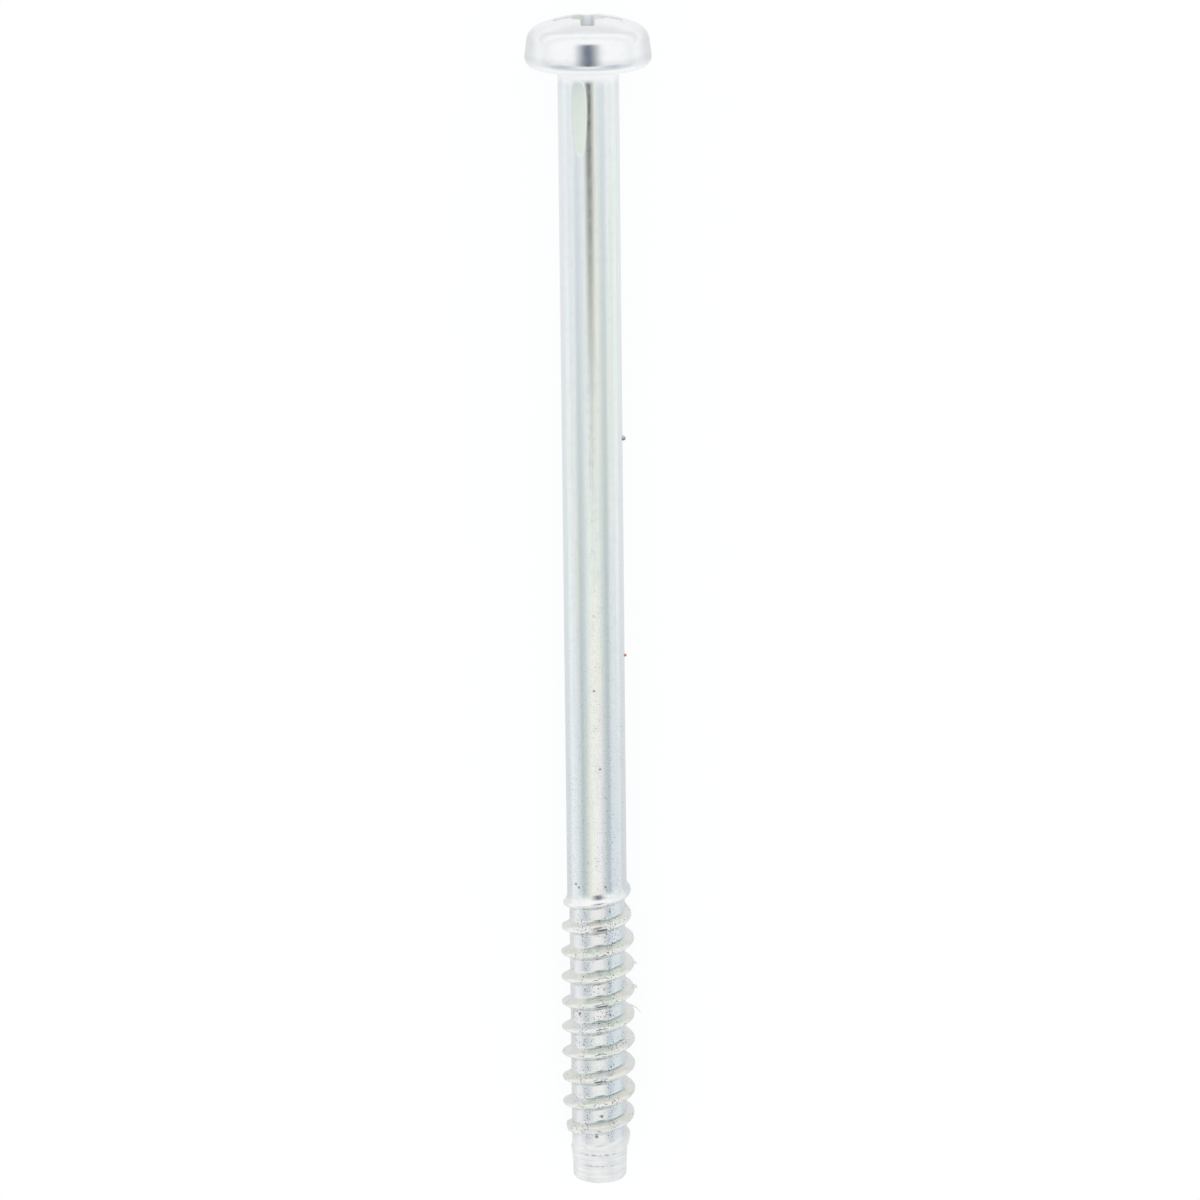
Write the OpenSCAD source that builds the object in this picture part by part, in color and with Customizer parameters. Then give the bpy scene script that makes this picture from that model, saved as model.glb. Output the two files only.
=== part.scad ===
// Pan head self-tapping screw: a long plain shank, a short coarse thread and a blunt end.
// Millimetres. The screw is drawn upright and then laid down on its head's rim and its thread.
// Upright, the head's seat is at z = 0 and the tip points down. A depth is measured from
// the seat towards the tip. Angles run round the shank, and at angle -90 is the front.

/* [Head] */
// Diameter of the head at its widest
head_d = 6.5; // [5.8:0.1:8]
// Height of the head above its seat
head_h = 2.64; // [2.3:0.05:3.2]
// Radius of the domed top
dome_r = 6.5; // [5:0.25:9]
// Rounding of the lower edge, round the seat
head_edge_r = 0.55; // [0.2:0.01:0.8]
// Rounding of the shoulder, between the side and the dome
shoulder_r = 0.85; // [0.3:0.05:1]
// Lean of the side towards the axis, in degrees
side_lean = 8; // [2:1:14]
// Fillet between the seat and the shank
neck_fillet_r = 0.41; // [0.1:0.02:0.6]

/* [Cross recess] */
// Span of the cross at its mouth, from wing end to wing end
recess_span = 3.6; // [3.2:0.1:4.2]
// Width of a wing at the mouth
wing_w = 0.7; // [0.6:0.05:1.1]
// Lean of a wing's two side walls, in degrees
wing_lean = 6; // [2:1:9]
// Lean of a wing's end wall, in degrees
wing_end_lean = 26.5; // [20:0.5:32]
// Span of the cross at the foot of the wings
recess_foot_span = 2.29; // [1.8:0.05:2.6]
// Slope of the shallow cone that closes the recess, in degrees
recess_floor_slope = 28; // [15:1:35]
// Diameter of the round clearing between the wings at the mouth
recess_core_d = 1.9; // [1.4:0.1:2.2]
// Lean of the clearing's wall, in degrees
recess_core_lean = 16; // [8:1:20]

/* [Shank] */
// Length from the seat to the tip
length = 60; // [40:1:90]
// Diameter of the plain shank
shank_d = 3.15; // [3:0.05:3.4]

/* [Thread] */
// Length of the threaded end, from the first crest to the tip
thread_l = 16.14; // [9:0.5:30]
// Diameter over the crests
thread_d = 3.9; // [3.6:0.05:4.3]
// Diameter of the core between the ridges
core_d = 2.93; // [2.7:0.05:3]
// Distance from one turn to the next
pitch = 1.4; // [1.2:0.05:1.8]
// Angle between the two flanks of a ridge, in degrees
flank_angle = 60; // [40:5:60]
// Width of the flat on top of a ridge
crest_w = 0.07; // [0.05:0.01:0.12]
// Diameter of the flared lip that ends the shank
lip_d = 3.58; // [3.45:0.05:3.6]
// Length over which the shank flares out to the lip
lip_l = 0.6; // [0.3:0.1:1.5]
// Turns that run at the lip's diameter before the crests grow
lip_turns = 1; // [0:0.25:2]
// Turns over which the crests then grow to the full diameter
growth_turns = 0.9; // [0.5:0.1:2]
// Turn of the thread round the axis, in degrees
thread_turn = 0; // [0:15:345]
// Angle over which the first groove sinks to its depth
groove_start_sweep = 120; // [60:15:240]

/* [Tip] */
// Length over which the crests sink into the blunt end
crest_fade_l = 3.92; // [2:0.02:6]
// Length of the plain end beyond the last trace of the ridge
tip_plain_l = 0.6; // [0.3:0.1:2]
// Diameter of the end
tip_d = 2.84; // [2.4:0.02:2.88]
// Rounding round the end
tip_edge_r = 0.2; // [0.05:0.05:0.5]

/* [Hidden] */
$fn = 96;
// Steps in one turn of the groove
turn_steps = 24;
// Steps along a curved stretch of the outline
blend_steps = 8;
// Room by which a cutter passes the surface that it cuts
cut_over = 0.03;
head_r = head_d / 2;
shank_r = shank_d / 2;
thread_r = thread_d / 2;
core_r = core_d / 2;
lip_r = lip_d / 2;
tip_r = tip_d / 2;

// Outline of the head: the two rounded edges, the side that touches both, and the dome
edge_at = [head_r - head_edge_r, head_edge_r];
dome_at = [0, head_h - dome_r];
side_out = [cos(side_lean), sin(side_lean)];
side_up = [-sin(side_lean), cos(side_lean)];
side_reach = edge_at * side_out + head_edge_r;
shoulder_out = side_reach - shoulder_r - dome_at * side_out;
shoulder_up = sqrt(pow(dome_r - shoulder_r, 2) - pow(shoulder_out, 2));
shoulder_at = dome_at + shoulder_out * side_out + shoulder_up * side_up;
dome_edge = dome_at + (shoulder_at - dome_at) * dome_r / (dome_r - shoulder_r);

// Recess: the mouth lies where the wing ends meet the dome
recess_r = recess_span / 2;
recess_foot_r = recess_foot_span / 2;
recess_core_r = recess_core_d / 2;
mouth_z = dome_at[1] + sqrt(pow(dome_r, 2) - pow(recess_r, 2));
foot_z = mouth_z - (recess_r - recess_foot_r) / tan(wing_end_lean);
floor_z = foot_z - recess_foot_r * tan(recess_floor_slope);
// Height of the cutter above the mouth, past the top of the dome
cutter_over = head_h - mouth_z + 0.5;
cutter_top = mouth_z + cutter_over;

// Depths along the thread
lip_depth = length - thread_l;
flare_depth = lip_depth - lip_l;
growth_depth = lip_depth + lip_turns * pitch;
full_depth = growth_depth + growth_turns * pitch;
fade_end_depth = length - tip_plain_l;
fade_depth = fade_end_depth - crest_fade_l;
fade_end_r = (core_r + tip_r) / 2 - cut_over / 2;
// Length by which the stem runs up into the head
stem_root_l = head_edge_r / 2;

// The groove between the ridges
flank_run = tan(flank_angle / 2);
groove_outer_r = thread_r + cut_over;
groove_outer_w = pitch - crest_w + 2 * cut_over * flank_run;
groove_start_angle = 30 + groove_start_sweep;
sink_steps = groove_start_sweep * turn_steps / 360;
groove_steps = ceil((length - lip_depth) / pitch * turn_steps);

// Rest: the screw lies on the head's lower edge and on the last full crest at the back. The
// crests fade over a length that lets the next one touch too, so the screw doesn't roll on.
back_crest_0 = crest_depth(thread_turn + 90) + crest_w / 2;
back_crest = back_crest_0 + floor((fade_depth - back_crest_0) / pitch) * pitch;
rest_reach = back_crest + edge_at[1];
rest_drop = edge_at[0] - thread_r;
rest_tilt = asin(head_edge_r / norm([rest_reach, rest_drop])) + atan(rest_drop / rest_reach);
rest_height = thread_r * cos(rest_tilt) + back_crest * sin(rest_tilt);
rest_middle = ((length - head_h) * cos(rest_tilt) + tip_r * sin(rest_tilt)) / 2;

// Depth of the first ridge's crest at an angle round the shank
function crest_depth(angle) = lip_depth + pitch * (thread_turn - angle) / 360;

// Value that runs smoothly from a to b as t runs from 0 to 1
function blend(a, b, t) = a + (b - a) * (1 - cos(180 * t)) / 2;

// Outline points of a stretch that swells or shrinks smoothly between two depths
function stretch(depth_a, r_a, depth_b, r_b) = [
    for (i = [0 : blend_steps])
        [blend(r_a, r_b, i / blend_steps), -depth_a - (depth_b - depth_a) * i / blend_steps]
];

// Floor radius of the groove at a step: it sinks from outside the crests to the core
function groove_floor(i) =
    core_r + (groove_outer_r - cut_over / 2 - core_r) * (1 - min(1, i / sink_steps));

// Width of the groove at a radius
function groove_w(r) = groove_outer_w - 2 * (groove_outer_r - r) * flank_run;

// The four corners of the groove's section at a step
function groove_section(i) =
    let (
        angle = thread_turn + groove_start_angle - i * 360 / turn_steps,
        z = -crest_depth(angle) - pitch / 2,
        r = groove_floor(i)
    )
    [
        for (corner = [
            [r, -groove_w(r) / 2],
            [groove_outer_r, -groove_outer_w / 2],
            [groove_outer_r, groove_outer_w / 2],
            [r, groove_w(r) / 2]
        ])
            [corner[0] * cos(angle), corner[0] * sin(angle), z + corner[1]]
    ];

module head_outline() {
    polygon([
        [0, 0],
        [edge_at[0], 0],
        edge_at + head_edge_r * side_out,
        shoulder_at + shoulder_r * side_out,
        dome_edge,
        [0, dome_edge[1]]
    ]);
    translate(edge_at) circle(r = head_edge_r);
    translate(shoulder_at) circle(r = shoulder_r);
    intersection() {
        translate(dome_at) circle(r = dome_r);
        translate([0, dome_edge[1]]) square([dome_edge[0], head_h]);
    }
}

module neck_outline() {
    difference() {
        translate([0, -neck_fillet_r]) square([shank_r + neck_fillet_r, neck_fillet_r]);
        translate([shank_r + neck_fillet_r, -neck_fillet_r]) circle(r = neck_fillet_r);
    }
}

// The shank and the threaded end, which run up into the head
module stem_outline() {
    polygon(concat(
        [
            [0, -length],
            [tip_r - tip_edge_r, -length],
            [tip_r, tip_edge_r - length]
        ],
        stretch(fade_end_depth, fade_end_r, fade_depth, thread_r),
        stretch(full_depth, thread_r, growth_depth, lip_r),
        stretch(lip_depth, lip_r, flare_depth, shank_r),
        [
            [shank_r, stem_root_l],
            [0, stem_root_l]
        ]
    ));
    translate([tip_r - tip_edge_r, tip_edge_r - length]) circle(r = tip_edge_r);
}

// The turned shape, before the recess is pressed and the thread is rolled
module blank() {
    rotate_extrude() {
        head_outline();
        neck_outline();
        stem_outline();
    }
}

// One pair of wings of the cross, with leaning side walls
module wing_pair() {
    floor_w = wing_w - 2 * (mouth_z - floor_z) * tan(wing_lean);
    top_w = wing_w + 2 * cutter_over * tan(wing_lean);
    rotate([90, 0, 0])
        linear_extrude(height = head_d, center = true)
            polygon([
                [-floor_w / 2, floor_z],
                [floor_w / 2, floor_z],
                [top_w / 2, cutter_top],
                [-top_w / 2, cutter_top]
            ]);
}

// The round clearing between the wings
module recess_core() {
    rotate_extrude()
        polygon([
            [0, floor_z],
            [recess_core_r - (mouth_z - floor_z) * tan(recess_core_lean), floor_z],
            [recess_core_r + cutter_over * tan(recess_core_lean), cutter_top],
            [0, cutter_top]
        ]);
}

// The space inside the wing ends and above the shallow floor
module recess_bound() {
    rotate_extrude()
        polygon([
            [0, floor_z],
            [recess_foot_r, foot_z],
            [recess_r + cutter_over * tan(wing_end_lean), cutter_top],
            [0, cutter_top]
        ]);
}

// The cross recess as a cutter
module cross_recess() {
    intersection() {
        union() {
            wing_pair();
            rotate([0, 0, 90]) wing_pair();
            recess_core();
        }
        recess_bound();
    }
}

// The helical groove as a cutter
module groove() {
    last = groove_steps - 1;
    polyhedron(
        points = [for (i = [0 : last]) each groove_section(i)],
        faces = concat(
            [[0, 1, 2, 3]],
            [
                for (i = [0 : last - 1])
                    for (c = [0 : 3])
                        let (
                            a = 4 * i + c,
                            b = 4 * i + (c + 1) % 4
                        )
                        each [[a, b + 4, b], [a, a + 4, b + 4]]
            ],
            [[4 * last + 3, 4 * last + 2, 4 * last + 1, 4 * last]]
        )
    );
}

// Lays the upright screw down, with its front up and its tip towards +X
module lay_down() {
    translate([-rest_middle, 0, rest_height])
        rotate([0, rest_tilt - 90, 0])
            rotate([0, 0, 90])
                children();
}

module tapping_screw() {
    color("gainsboro")
        lay_down()
            difference() {
                blank();
                groove();
                cross_recess();
            }
}

tapping_screw();
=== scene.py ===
"""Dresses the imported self-tapping screw in bright zinc plate and sets it in a plain studio.

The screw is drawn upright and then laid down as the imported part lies. Upright, the head's seat is
at z = 0, the tip points down and the front faces -Y. A depth is measured from the seat towards the
tip. An azimuth runs round the axis: 0 is the front, and it grows towards the right of the front.
"""

import logging
import math
from collections.abc import Callable, Iterable, Mapping, Sequence
from dataclasses import dataclass, field
from enum import Enum
from typing import Any

import bmesh
import bpy
import numpy as np
from mathutils import Matrix, Vector


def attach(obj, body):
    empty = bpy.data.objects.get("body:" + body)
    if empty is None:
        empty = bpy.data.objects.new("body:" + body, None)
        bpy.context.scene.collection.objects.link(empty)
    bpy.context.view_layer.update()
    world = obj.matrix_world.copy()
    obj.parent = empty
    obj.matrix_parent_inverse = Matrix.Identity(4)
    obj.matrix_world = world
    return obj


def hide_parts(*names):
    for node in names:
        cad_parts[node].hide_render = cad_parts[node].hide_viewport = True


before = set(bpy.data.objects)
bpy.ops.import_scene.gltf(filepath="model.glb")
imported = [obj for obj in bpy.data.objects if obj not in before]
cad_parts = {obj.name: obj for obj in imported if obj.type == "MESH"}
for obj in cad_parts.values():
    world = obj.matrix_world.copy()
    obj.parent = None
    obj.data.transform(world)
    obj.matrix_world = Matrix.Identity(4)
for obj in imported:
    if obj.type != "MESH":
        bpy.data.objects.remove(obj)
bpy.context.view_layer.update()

LOG = logging.getLogger("tapping_screw")
MM = 0.001
NODE = "tapping_screw"
BODY = "root"
COLUMNS = 144
ROWS_PER_TURN = 20
WELD = 1e-6
SHARP_ANGLE = math.radians(38)
INSET = 0.9992
SUDDEN = 1000.0
NICK_SEED = 7.0
NICK_RATE = 12.9
NICK_WANDER = math.radians(5)

Ring = np.ndarray
Colour = tuple[float, float, float]
Span = tuple[float, float]
Hump = tuple[float, float]
Spot = tuple[float, float, float]


class End(Enum):
    """Which end of a stack of rings is closed with a pole."""

    FIRST = "first"
    LAST = "last"


@dataclass(frozen=True)
class ScrewSizes:
    """The screw's driving sizes in metres and radians, as the part's source has them."""

    head_r: float = 3.25 * MM
    head_h: float = 2.64 * MM
    dome_r: float = 6.5 * MM
    head_edge_r: float = 0.55 * MM
    shoulder_r: float = 0.85 * MM
    side_lean: float = math.radians(8)
    neck_fillet_r: float = 0.41 * MM
    recess_r: float = 1.8 * MM
    wing_w: float = 0.7 * MM
    wing_lean: float = math.radians(6)
    wing_end_lean: float = math.radians(26.5)
    recess_foot_r: float = 1.145 * MM
    recess_floor_slope: float = math.radians(28)
    recess_core_r: float = 0.95 * MM
    recess_core_lean: float = math.radians(16)
    length: float = 60 * MM
    shank_r: float = 1.575 * MM
    thread_l: float = 16.14 * MM
    thread_r: float = 1.95 * MM
    core_r: float = 1.465 * MM
    pitch: float = 1.4 * MM
    flank_half_angle: float = math.radians(30)
    crest_w: float = 0.07 * MM
    lip_r: float = 1.79 * MM
    lip_l: float = 0.6 * MM
    lip_turns: float = 1.0
    growth_turns: float = 0.9
    crest_fade_l: float = 3.92 * MM
    fade_end_r: float = 1.4275 * MM
    tip_plain_l: float = 0.6 * MM
    tip_r: float = 1.42 * MM
    tip_edge_r: float = 0.2 * MM

    @property
    def lip_depth(self) -> float:
        """Depth of the flared lip, where the thread starts."""
        return self.length - self.thread_l

    @property
    def growth_depth(self) -> float:
        """Depth where the crests begin to grow."""
        return self.lip_depth + self.lip_turns * self.pitch

    @property
    def full_depth(self) -> float:
        """Depth where the crests reach their full radius."""
        return self.growth_depth + self.growth_turns * self.pitch

    @property
    def fade_end_depth(self) -> float:
        """Depth of the last trace of the ridge."""
        return self.length - self.tip_plain_l

    @property
    def fade_depth(self) -> float:
        """Depth where the crests begin to sink."""
        return self.fade_end_depth - self.crest_fade_l

    @property
    def back_crest(self) -> float:
        """Depth of the last full crest at the back, on which the screw rests."""
        first = self.lip_depth - self.pitch / 4 + self.crest_w / 2
        return first + math.floor((self.fade_depth - first) / self.pitch) * self.pitch

    @property
    def rest_tilt(self) -> float:
        """Slope of the lying screw's axis, with its tip low."""
        reach = self.back_crest + self.head_edge_r
        drop = self.head_r - self.head_edge_r - self.thread_r
        return math.asin(self.head_edge_r / math.hypot(reach, drop)) + math.atan(drop / reach)

    def lying(self) -> Matrix:
        """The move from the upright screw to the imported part's place.

        Returns:
            A rigid matrix, in metres.
        """
        tilt = self.rest_tilt
        height = self.thread_r * math.cos(tilt) + self.back_crest * math.sin(tilt)
        middle = ((self.length - self.head_h) * math.cos(tilt) + self.tip_r * math.sin(tilt)) / 2
        return (
            Matrix.Translation((-middle, 0, height))
            @ Matrix.Rotation(tilt - math.pi / 2, 4, "Y")
            @ Matrix.Rotation(math.pi / 2, 4, "Z")
        )


def operator(operation: str, reflected: bool = False) -> Callable[["Value", Any], "Value"]:
    """Makes an operator of Value.

    Args:
        operation: The Math node's operation.
        reflected: Whether the other operand comes first.

    Returns:
        The method.
    """

    def apply(own: "Value", other: Any) -> "Value":
        """Adds the Math node."""
        return own.graph.math(operation, *((other, own) if reflected else (own, other)))

    return apply


class Value:
    """An output of a node, on which Python's operators add Math nodes."""

    __add__ = operator("ADD")
    __radd__ = operator("ADD", reflected=True)
    __sub__ = operator("SUBTRACT")
    __rsub__ = operator("SUBTRACT", reflected=True)
    __mul__ = operator("MULTIPLY")
    __rmul__ = operator("MULTIPLY", reflected=True)
    __truediv__ = operator("DIVIDE")
    __rtruediv__ = operator("DIVIDE", reflected=True)

    def __init__(self, graph: "Graph", socket: bpy.types.NodeSocket) -> None:
        """Keeps the graph and the output socket."""
        self.graph = graph
        self.socket = socket

    def other(self, name: str) -> "Value":
        """Another output of the same node, by name."""
        return Value(self.graph, find_socket(self.socket.node.outputs, name))

    def __neg__(self) -> "Value":
        """Negative."""
        return self * -1.0

    def __abs__(self) -> "Value":
        """Size without the sign."""
        return self.graph.math("ABSOLUTE", self)


def find_socket(sockets: Iterable[bpy.types.NodeSocket], key: str | int) -> bpy.types.NodeSocket:
    """Finds a node's socket.

    Args:
        sockets: The node's inputs or outputs.
        key: Its place, its identifier or its name.

    Returns:
        The socket.
    """
    if isinstance(key, int):
        return list(sockets)[key]
    by_identifier = [s for s in sockets if s.identifier == key]
    by_name = [s for s in sockets if s.name == key]
    return (by_identifier + by_name)[0]


class Graph:
    """A node tree under construction, for a material, the world or geometry."""

    def __init__(self, tree: bpy.types.NodeTree) -> None:
        """Takes the tree and empties it."""
        self.tree = tree
        tree.nodes.clear()

    def feed(self, socket: bpy.types.NodeSocket, value: Any) -> None:
        """Links a Value to a socket, or sets the socket to a constant.

        Args:
            socket: The input to feed.
            value: A Value, or a number, colour, vector, text or data-block.
        """
        if isinstance(value, Value):
            self.tree.links.new(value.socket, socket)
        elif socket.type == "RGBA" and len(value) == 3:
            socket.default_value = (*value, 1.0)
        else:
            socket.default_value = value

    def node(
        self,
        kind: str,
        settings: Mapping[str, Any] | None = None,
        inputs: Mapping[str | int, Any] | None = None,
        output: str | int | None = 0,
    ) -> Value | None:
        """Adds a node: its settings are set first, and then its sockets.

        Args:
            kind: The node's type.
            settings: Its properties, with a ramp's stops as pairs of place and colour.
            inputs: Values or links of its sockets.
            output: The output to return, or None for a node that has none.

        Returns:
            The chosen output.
        """
        made = self.tree.nodes.new(kind)
        for name, setting in (settings or {}).items():
            if name == "stops":
                elements = made.color_ramp.elements
                while len(elements) < len(setting):
                    elements.new(1.0)
                for element, (place, colour) in zip(elements, setting):
                    element.position = place
                    element.color = (*colour, 1.0)
            else:
                setattr(made, name, setting)
        for name, value in (inputs or {}).items():
            self.feed(find_socket(made.inputs, name), value)
        return None if output is None else Value(self, find_socket(made.outputs, output))

    def math(self, operation: str, *values: Any, clamp: bool = False) -> Value:
        """Adds a Math node."""
        settings = {"operation": operation, "use_clamp": clamp}
        return self.node("ShaderNodeMath", settings, dict(enumerate(values)))

    def smaller(self, a: Any, b: Any) -> Value:
        """The smaller of two numbers."""
        return self.math("MINIMUM", a, b)

    def larger(self, a: Any, b: Any) -> Value:
        """The larger of two numbers."""
        return self.math("MAXIMUM", a, b)

    def clamped(self, value: Any) -> Value:
        """A number held between 0 and 1."""
        return self.math("ADD", value, 0.0, clamp=True)

    def step(self, value: Any, start: Any, end: Any, smooth: bool = True) -> Value:
        """A number that runs from 0 at start to 1 at end, and stays there."""
        settings = {"interpolation_type": "SMOOTHSTEP" if smooth else "LINEAR"}
        return self.node("ShaderNodeMapRange", settings, {"Value": value, 1: start, 2: end})

    def fall(self, value: Any, start: float, end: float) -> Value:
        """A number that runs from 1 at start to 0 at end, and stays there."""
        return 1.0 - self.step(value, start, end)

    def band(self, value: Any, rise: Span, fall: Span) -> Value:
        """A number that rises from 0 to 1 over one span and falls back over another."""
        return self.step(value, *rise) * self.fall(value, *fall)

    def bump(self, value: Any, centre: float, half_width: float) -> Value:
        """A smooth hump of height 1 round a centre, which is 0 from half a width away."""
        return self.fall(abs(value - centre), 0.0, half_width)

    def vector(self, x: Any, y: Any, z: Any) -> Value:
        """Three numbers as a vector."""
        return self.node("ShaderNodeCombineXYZ", None, {"X": x, "Y": y, "Z": z})

    def axes(self, place: Value) -> tuple[Value, Value, Value]:
        """A vector's three numbers."""
        x = self.node("ShaderNodeSeparateXYZ", None, {0: place}, "X")
        return x, x.other("Y"), x.other("Z")

    def mix(self, factor: Any, a: Any, b: Any) -> Value:
        """Two colours mixed."""
        settings = {"data_type": "RGBA", "blend_type": "MIX"}
        inputs = {"Factor_Float": factor, "A_Color": a, "B_Color": b}
        return self.node("ShaderNodeMix", settings, inputs, "Result_Color")

    def ramp(self, factor: Any, stops: Sequence[tuple[float, Colour]]) -> Value:
        """A colour ramp."""
        return self.node("ShaderNodeValToRGB", {"stops": stops}, {"Fac": factor})

    def noise(self, place: Value, scale: float, detail: float = 2.0, rough: float = 0.5) -> Value:
        """A noise between about 0.25 and 0.75 over a place."""
        inputs = {"Vector": place, "Scale": scale, "Detail": detail, "Roughness": rough}
        return self.node("ShaderNodeTexNoise", {"noise_dimensions": "3D"}, inputs)

    def show(self, shader: Value, kind: str = "ShaderNodeOutputMaterial") -> None:
        """Feeds a shader to the tree's output."""
        self.node(kind, None, {"Surface": shader}, None)


def new_material(name: str) -> tuple[bpy.types.Material, Graph]:
    """Makes an empty material.

    Args:
        name: The material's name.

    Returns:
        The material and its graph.
    """
    material = bpy.data.materials.new(name)
    material.use_nodes = True
    return material, Graph(material.node_tree)


def linked(name: str, data: bpy.types.ID) -> bpy.types.Object:
    """Puts data into the scene, unturned and at the origin.

    Args:
        name: The object's name.
        data: Its mesh or camera.

    Returns:
        The object.
    """
    made = bpy.data.objects.new(name, data)
    bpy.context.scene.collection.objects.link(made)
    return made


def circle_ring(radius: float, z: float) -> Ring:
    """A level ring of points, one for each column, which starts at the right of the front."""
    angles = np.arange(COLUMNS) * (2 * math.pi / COLUMNS)
    return np.column_stack([radius * np.cos(angles), radius * np.sin(angles), np.full(COLUMNS, z)])


def arc_profile(
    centre: tuple[float, float], radius: float, start: float, end: float, steps: int
) -> list[tuple[float, float]]:
    """Points of an arc in the half-plane through the axis.

    Args:
        centre: Its distance from the axis and its height.
        radius: The arc's radius.
        start: Its first angle, 0 pointing away from the axis.
        end: Its last angle.
        steps: The number of pieces.

    Returns:
        Pairs of distance from the axis and height.
    """
    angles = np.linspace(start, end, steps + 1)
    return [(centre[0] + radius * math.cos(a), centre[1] + radius * math.sin(a)) for a in angles]


def mesh_of_rings(name: str, rings: Sequence[Ring], pole: Vector, closed: End) -> bpy.types.Mesh:
    """Joins rings of points into a skin with one open end.

    Args:
        name: The mesh's name.
        rings: The rings, from the first to the last.
        pole: The point that closes one end.
        closed: The end that it closes.

    Returns:
        The mesh, in metres.
    """
    points = np.vstack([*rings, np.array(pole)[None, :]])
    apex = len(points) - 1
    faces = []
    for row in range(len(rings) - 1):
        for column in range(COLUMNS):
            following = (column + 1) % COLUMNS
            near, far = row * COLUMNS, (row + 1) * COLUMNS
            faces.append((near + column, far + column, far + following, near + following))
    base = 0 if closed is End.FIRST else (len(rings) - 1) * COLUMNS
    for column in range(COLUMNS):
        faces.append((base + column, base + (column + 1) % COLUMNS, apex))
    mesh = bpy.data.meshes.new(name)
    mesh.from_pydata(points.tolist(), [], faces)
    return mesh


@dataclass
class PanHead:
    """The pan head with its pressed cross recess."""

    sizes: ScrewSizes
    mouth_round: float = 0.07 * MM
    wall_rings: int = 9
    floor_rings: int = 7
    dome_rings: int = 16
    mouth_rings: int = 5
    end_share: int = 4
    side_share: int = 8
    settling_rounds: int = 6
    shoulder_steps: int = 10
    edge_steps: int = 18
    fillet_steps: int = 10

    def dome_z(self, radius: float) -> float:
        """Height of the dome at a distance from the axis."""
        s = self.sizes
        return s.head_h - s.dome_r + math.sqrt(s.dome_r**2 - radius**2)

    @property
    def mouth_z(self) -> float:
        """Height at which the wing ends meet the dome."""
        return self.dome_z(self.sizes.recess_r)

    @property
    def foot_z(self) -> float:
        """Height of the foot of the wing ends."""
        s = self.sizes
        return self.mouth_z - (s.recess_r - s.recess_foot_r) / math.tan(s.wing_end_lean)

    @property
    def floor_z(self) -> float:
        """Height of the recess's deepest point."""
        s = self.sizes
        return self.foot_z - s.recess_foot_r * math.tan(s.recess_floor_slope)

    def cross_point(self, column: int, z: float) -> tuple[float, float]:
        """A point of the cross's outline at a height.

        Args:
            column: Which column of points it belongs to.
            z: The height.

        Returns:
            Its place in the plan.
        """
        s = self.sizes
        quarter = COLUMNS // 4
        turn, k = divmod(column, quarter)
        mirrored = k > quarter // 2
        k = quarter - k if mirrored else k
        below = self.mouth_z - z
        end = s.recess_r - below * math.tan(s.wing_end_lean)
        half = s.wing_w / 2 - below * math.tan(s.wing_lean)
        core = s.recess_core_r - below * math.tan(s.recess_core_lean)
        end = max(end, core * 1.02)
        if k <= self.end_share:
            angle = math.asin(half / end) * k / self.end_share
            x, y = end * math.cos(angle), end * math.sin(angle)
        elif k <= self.end_share + self.side_share:
            share = (k - self.end_share) / self.side_share
            outer, inner = math.sqrt(end**2 - half**2), math.sqrt(core**2 - half**2)
            x, y = outer + (inner - outer) * share, half
        else:
            share = (k - self.end_share - self.side_share) / (
                quarter // 2 - self.end_share - self.side_share
            )
            first = math.asin(half / core)
            angle = first + (math.pi / 4 - first) * share
            x, y = core * math.cos(angle), core * math.sin(angle)
        if mirrored:
            x, y = y, x
        c, d = math.cos(turn * math.pi / 2), math.sin(turn * math.pi / 2)
        return c * x - d * y, d * x + c * y

    def cross_ring(self, height: Callable[[float], float]) -> Ring:
        """The cross's outline where its walls meet a surface.

        Args:
            height: The surface's height at a distance from the axis.

        Returns:
            The ring of points on that surface.
        """
        ring = []
        for column in range(COLUMNS):
            z = height(self.sizes.recess_core_r)
            for _ in range(self.settling_rounds):
                x, y = self.cross_point(column, z)
                z = height(math.hypot(x, y))
            ring.append((x, y, z))
        return np.array(ring)

    def widened(self, ring: Ring, by: float) -> Ring:
        """Moves a ring outwards in the plan and keeps it on the dome.

        Args:
            ring: The ring, on the dome.
            by: How far it moves.

        Returns:
            The moved ring.
        """
        along = np.roll(ring, -1, axis=0) - np.roll(ring, 1, axis=0)
        out = np.column_stack([along[:, 1], -along[:, 0]])
        out /= np.linalg.norm(out, axis=1, keepdims=True)
        moved = ring.copy()
        moved[:, :2] += by * out
        moved[:, 2] = [self.dome_z(r) for r in np.hypot(moved[:, 0], moved[:, 1])]
        return moved

    def recess_rings(self) -> list[Ring]:
        """Rings from the recess's floor, up its walls and over its rounded mouth."""
        slope = math.tan(self.sizes.recess_floor_slope)
        foot = self.cross_ring(lambda r: self.floor_z + r * slope)
        mouth = self.cross_ring(self.dome_z)
        rings = []
        for i in range(1, self.floor_rings):
            ring = foot * (i / self.floor_rings)
            ring[:, 2] = self.floor_z + np.hypot(ring[:, 0], ring[:, 1]) * slope
            rings.append(ring)
        wall = mouth - foot
        height = np.linalg.norm(wall, axis=1, keepdims=True)
        brink = mouth - wall / height * self.mouth_round
        for i in range(self.wall_rings):
            rings.append(foot + (brink - foot) * (i / self.wall_rings))
        over = self.widened(mouth, self.mouth_round)
        for i in range(self.mouth_rings + 1):
            t = i / self.mouth_rings
            rings.append((1 - t) ** 2 * brink + 2 * t * (1 - t) * mouth + t**2 * over)
        return rings

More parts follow.
